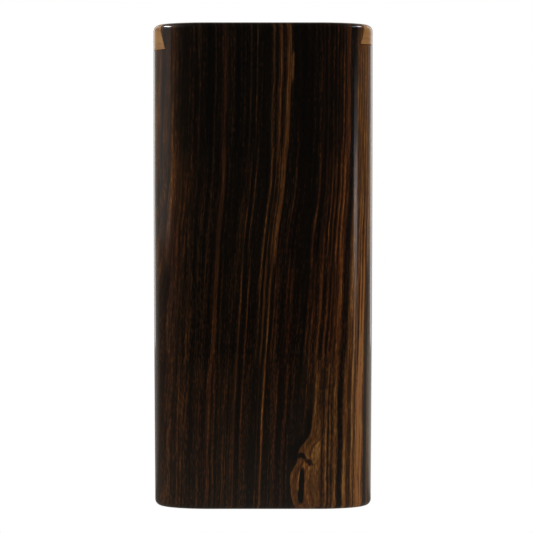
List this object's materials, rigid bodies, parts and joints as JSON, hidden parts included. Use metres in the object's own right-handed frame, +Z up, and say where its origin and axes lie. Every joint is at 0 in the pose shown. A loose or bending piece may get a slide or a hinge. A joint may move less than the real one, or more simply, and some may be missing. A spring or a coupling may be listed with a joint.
{
  "type": "dip pen holder",
  "caption": "Slab-shaped hardwood pocket case with a sliding dovetail lid, a spring-lifted dip pen in a round bore and a felt-bedded pocket for spare nibs.",
  "frame": {"origin": "centre of the flat bottom face", "axes": "+Z up the case, +X to the side the lid slides out of, -Y the front face"},
  "size_m": [0.052, 0.025, 0.114],
  "materials": {
    "case_wood": "dark striped hardwood, polished lacquer",
    "lid_wood": "tan hardwood, polished lacquer",
    "handle_wood": "reddish hardwood, oiled",
    "brass": "turned, lightly polished",
    "spring_steel": "bright spring wire",
    "nib_steel": "polished steel",
    "magnet_nickel": "nickel plate",
    "felt": "dense wool felt"
  },
  "bodies": {
    "case": {"case_body": "case_wood", "lid_stop_pin": "brass", "case_magnet_left": "magnet_nickel", "case_magnet_right": "magnet_nickel", "mouth_bush": "brass", "nib_pocket_felt": "felt", "lift_spring": "spring_steel"},
    "lid": {"sliding_lid": "lid_wood", "lid_magnet_left": "magnet_nickel", "lid_magnet_right": "magnet_nickel"},
    "lifter": {"pen_lifter": "brass"},
    "pen": {"pen_handle": "handle_wood", "pen_finial": "brass", "pen_ferrule": "brass", "nib_clip": "spring_steel", "pen_nib": "nib_steel"}
  },
  "joints": [
    {"name": "lid_slide", "type": "slide", "parent": "case", "child": "lid", "axis": [0.9997, 0, 0.0262], "range_m": [0, 0.038]},
    {"name": "lifter_rise", "type": "slide", "parent": "case", "child": "lifter", "axis": [0, 0, 1], "range_m": [0, 0.01], "deforming": ["lift_spring"]},
    {"name": "pen_rise", "type": "slide", "parent": "case", "child": "pen", "axis": [0, 0, 1], "range_m": [0, 0.01]}
  ],
  "couplings": [
    {"joint": "lifter_rise", "follows": "lid_slide", "ratio": 0.263},
    {"joint": "pen_rise", "follows": "lid_slide", "ratio": 0.263}
  ]
}
